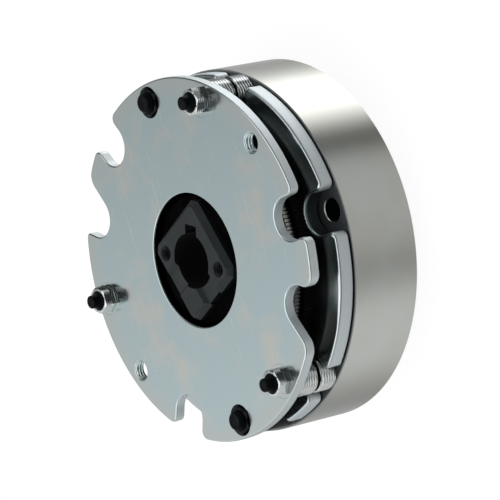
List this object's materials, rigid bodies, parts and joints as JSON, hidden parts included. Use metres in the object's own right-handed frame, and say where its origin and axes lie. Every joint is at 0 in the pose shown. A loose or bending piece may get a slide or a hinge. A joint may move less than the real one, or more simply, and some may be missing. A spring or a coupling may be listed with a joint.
{
  "type": "spring applied brake",
  "caption": "Round spring applied brake: magnet body, sliding armature, toothed friction rotor on a square hub and a notched flange plate held by screws in threaded sleeves.",
  "frame": {"origin": "centre of the stator's back face, at the bottom of the bounding box", "axes": "+Z along the brake axis from the stator to the flange plate; +X towards the open screw hole at station 0"},
  "size_m": [0.145, 0.145, 0.0613],
  "materials": {
    "zinc_plate": "bright zinc plating",
    "zinc_armature": "bright zinc plating",
    "turned_steel": "fine turned, nickel plated",
    "zinc_bush": "bright zinc plating",
    "black_screw": "black oxide",
    "black_tube": "black oxide",
    "black_hub": "phosphated",
    "friction": "moulded",
    "dark_carrier": "dark anodised",
    "copper": "enamelled wire",
    "resin": "cast resin",
    "spring_steel": "plain",
    "rubber": "moulded"
  },
  "bodies": {
    "stator": {"flange_plate": "zinc_plate", "magnet_body": "turned_steel", "flange_bush_1": "zinc_bush", "adjusting_sleeve_1": "zinc_bush", "cap_screw_1": "black_screw", "flange_bush_2": "zinc_bush", "adjusting_sleeve_2": "zinc_bush", "cap_screw_2": "black_screw", "flange_bush_3": "zinc_bush", "adjusting_sleeve_3": "zinc_bush", "cap_screw_3": "black_screw", "stop_tube_1": "black_tube", "stop_screw_1": "black_screw", "stop_tube_2": "black_tube", "stop_screw_2": "black_screw", "coil_winding": "copper", "coil_cover": "resin", "pressure_springs": "spring_steel", "lead_grommet": "rubber"},
    "armature": {"armature_plate": "zinc_armature"},
    "hub": {"hub": "black_hub"},
    "rotor": {"rotor_carrier": "dark_carrier", "lining_front": "friction", "lining_rear": "friction"}
  },
  "joints": [
    {"name": "armature_slide", "type": "slide", "parent": "stator", "child": "armature", "axis": [0, 0, 1], "range_m": [-0.0006, 0], "stiffness_N_per_m": 40000, "springref_m": 0.012, "deforming": ["pressure_springs"]},
    {"name": "hub_spin", "type": "hinge", "parent": "stator", "child": "hub", "pos_m": [0, 0, 0.0435], "axis": [0, 0, 1], "continuous": true},
    {"name": "rotor_float", "type": "slide", "parent": "hub", "child": "rotor", "axis": [0, 0, 1], "range_m": [-0.0003, 0]}
  ],
  "couplings": [
    {"joint": "rotor_float", "follows": "armature_slide", "ratio": 0.5}
  ]
}
